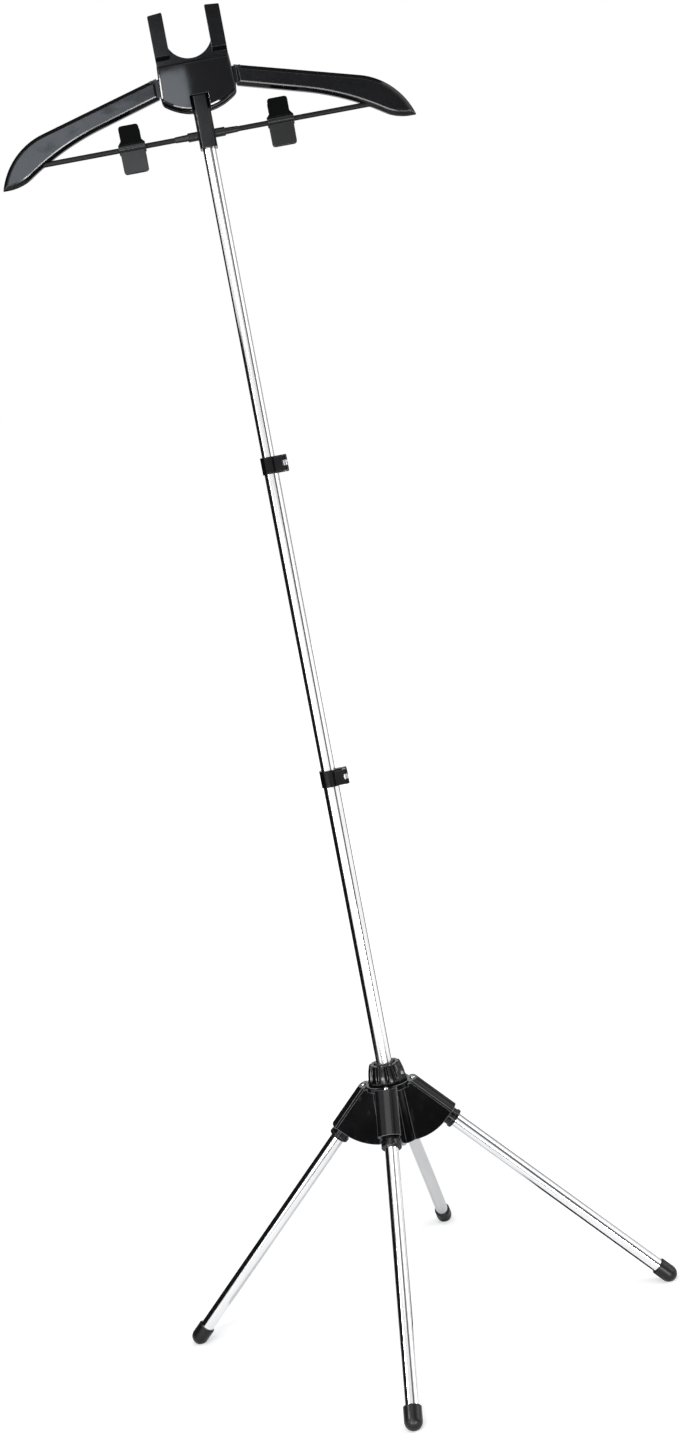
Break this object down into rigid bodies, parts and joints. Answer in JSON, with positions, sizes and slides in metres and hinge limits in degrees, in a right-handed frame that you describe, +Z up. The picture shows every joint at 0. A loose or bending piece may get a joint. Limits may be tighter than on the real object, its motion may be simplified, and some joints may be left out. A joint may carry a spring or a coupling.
{
  "type": "garment steamer stand",
  "caption": "Telescopic garment stand with a splayed tubular base, flip-lever height clamps, a hanger with a clip bar, and a forked rest for a steam head.",
  "frame": {"origin": "on the floor under the pole's axis", "axes": "+Z up along the pole, -Y out of the hanger's front face, +X to the right along the hanger seen from the front"},
  "size_m": [0.523, 0.523, 1.373],
  "materials": {
    "black_plastic": "black, satin gloss",
    "tube_metal": "bright polished tube",
    "bright_steel": "bright plated",
    "foot_rubber": "black, matt",
    "bar_coat": "black, satin",
    "inner_plastic": "dark grey, matt",
    "spring_steel": "spring wire"
  },
  "bodies": {
    "base": {"hub": "black_plastic", "hub_screws": "bright_steel", "collet": "inner_plastic", "leg_right": "tube_metal", "leg_rear": "tube_metal", "leg_left": "tube_metal", "leg_front": "tube_metal", "leg_collar_right": "black_plastic", "leg_collar_rear": "black_plastic", "leg_collar_left": "black_plastic", "leg_collar_front": "black_plastic", "foot_right": "foot_rubber", "foot_rear": "foot_rubber", "foot_left": "foot_rubber", "foot_front": "foot_rubber"},
    "grip_ring": {"grip_ring": "inner_plastic"},
    "collet_nut": {"collet_nut": "black_plastic"},
    "lower_section": {"lower_tube": "tube_metal", "pole_end_plug": "inner_plastic", "lower_clamp_band": "black_plastic", "lower_clamp_bolt": "bright_steel", "lower_clamp_nut": "bright_steel"},
    "lower_lever": {"lower_clamp_lever": "black_plastic", "lower_clamp_pin": "bright_steel"},
    "middle_section": {"middle_tube": "tube_metal", "middle_bush": "inner_plastic", "upper_clamp_band": "black_plastic", "upper_clamp_bolt": "bright_steel", "upper_clamp_nut": "bright_steel"},
    "upper_lever": {"upper_clamp_lever": "black_plastic", "upper_clamp_pin": "bright_steel"},
    "upper_section": {"upper_tube": "tube_metal", "upper_bush": "inner_plastic", "stem": "black_plastic", "front_cover": "black_plastic", "rear_cover": "black_plastic", "cover_screws": "bright_steel", "fork": "black_plastic", "left_arm": "black_plastic", "right_arm": "black_plastic", "left_bar_sleeve": "black_plastic", "right_bar_sleeve": "black_plastic", "left_bar": "bar_coat", "right_bar": "bar_coat"},
    "left_clip_slider": {"left_clip_barrel": "black_plastic"},
    "left_clip_front": {"left_clip_front": "black_plastic", "left_clip_spring": "spring_steel"},
    "left_clip_rear": {"left_clip_rear": "black_plastic"},
    "right_clip_slider": {"right_clip_barrel": "black_plastic"},
    "right_clip_front": {"right_clip_front": "black_plastic", "right_clip_spring": "spring_steel"},
    "right_clip_rear": {"right_clip_rear": "black_plastic"}
  },
  "joints": [
    {"name": "nut_turn", "type": "hinge", "parent": "grip_ring", "child": "collet_nut", "pos_m": [0, 0, 0.2684], "axis": [0, 0, 1], "range_deg": [0, 360]},
    {"name": "ring_lift", "type": "slide", "parent": "base", "child": "grip_ring", "axis": [0, 0, 1], "range_m": [0, 0.0025]},
    {"name": "pole_turn", "type": "hinge", "parent": "base", "child": "lower_section", "pos_m": [0, 0, 0.25], "axis": [0, 0, 1], "range_deg": [-180, 180]},
    {"name": "middle_slide", "type": "slide", "parent": "lower_section", "child": "middle_section", "axis": [0, 0, 1], "range_m": [-0.304, 0]},
    {"name": "upper_slide", "type": "slide", "parent": "middle_section", "child": "upper_section", "axis": [0, 0, 1], "range_m": [-0.306, 0]},
    {"name": "lower_lever_flip", "type": "hinge", "parent": "lower_section", "child": "lower_lever", "pos_m": [0.016, -0.0079, 0.58725], "axis": [0, 0, 1], "range_deg": [0, 110]},
    {"name": "upper_lever_flip", "type": "hinge", "parent": "middle_section", "child": "upper_lever", "pos_m": [0.0151, -0.0079, 0.91525], "axis": [0, 0, 1], "range_deg": [0, 110]},
    {"name": "left_clip_slide", "type": "slide", "parent": "upper_section", "child": "left_clip_slider", "axis": [-1, 0, 0], "range_m": [-0.026, 0.014]},
    {"name": "left_clip_swing", "type": "hinge", "parent": "left_clip_slider", "child": "left_clip_front", "pos_m": [-0.0756, -0.002, 1.2505], "axis": [1, 0, 0], "range_deg": [-35, 35]},
    {"name": "left_clip_squeeze", "type": "hinge", "parent": "left_clip_front", "child": "left_clip_rear", "pos_m": [-0.0756, -0.002, 1.2505], "axis": [1, 0, 0], "range_deg": [0, 20], "stiffness_Nm_per_rad": 0.1, "springref_deg": -17.19, "deforming": ["left_clip_spring"]},
    {"name": "right_clip_slide", "type": "slide", "parent": "upper_section", "child": "right_clip_slider", "axis": [1, 0, 0], "range_m": [-0.026, 0.014]},
    {"name": "right_clip_swing", "type": "hinge", "parent": "right_clip_slider", "child": "right_clip_front", "pos_m": [0.0756, -0.002, 1.2505], "axis": [1, 0, 0], "range_deg": [-35, 35]},
    {"name": "right_clip_squeeze", "type": "hinge", "parent": "right_clip_front", "child": "right_clip_rear", "pos_m": [0.0756, -0.002, 1.2505], "axis": [1, 0, 0], "range_deg": [0, 20], "stiffness_Nm_per_rad": 0.1, "springref_deg": -17.19, "deforming": ["right_clip_spring"]}
  ],
  "couplings": [
    {"joint": "nut_turn", "follows": "ring_lift", "rad_per_m": 2513.3}
  ]
}
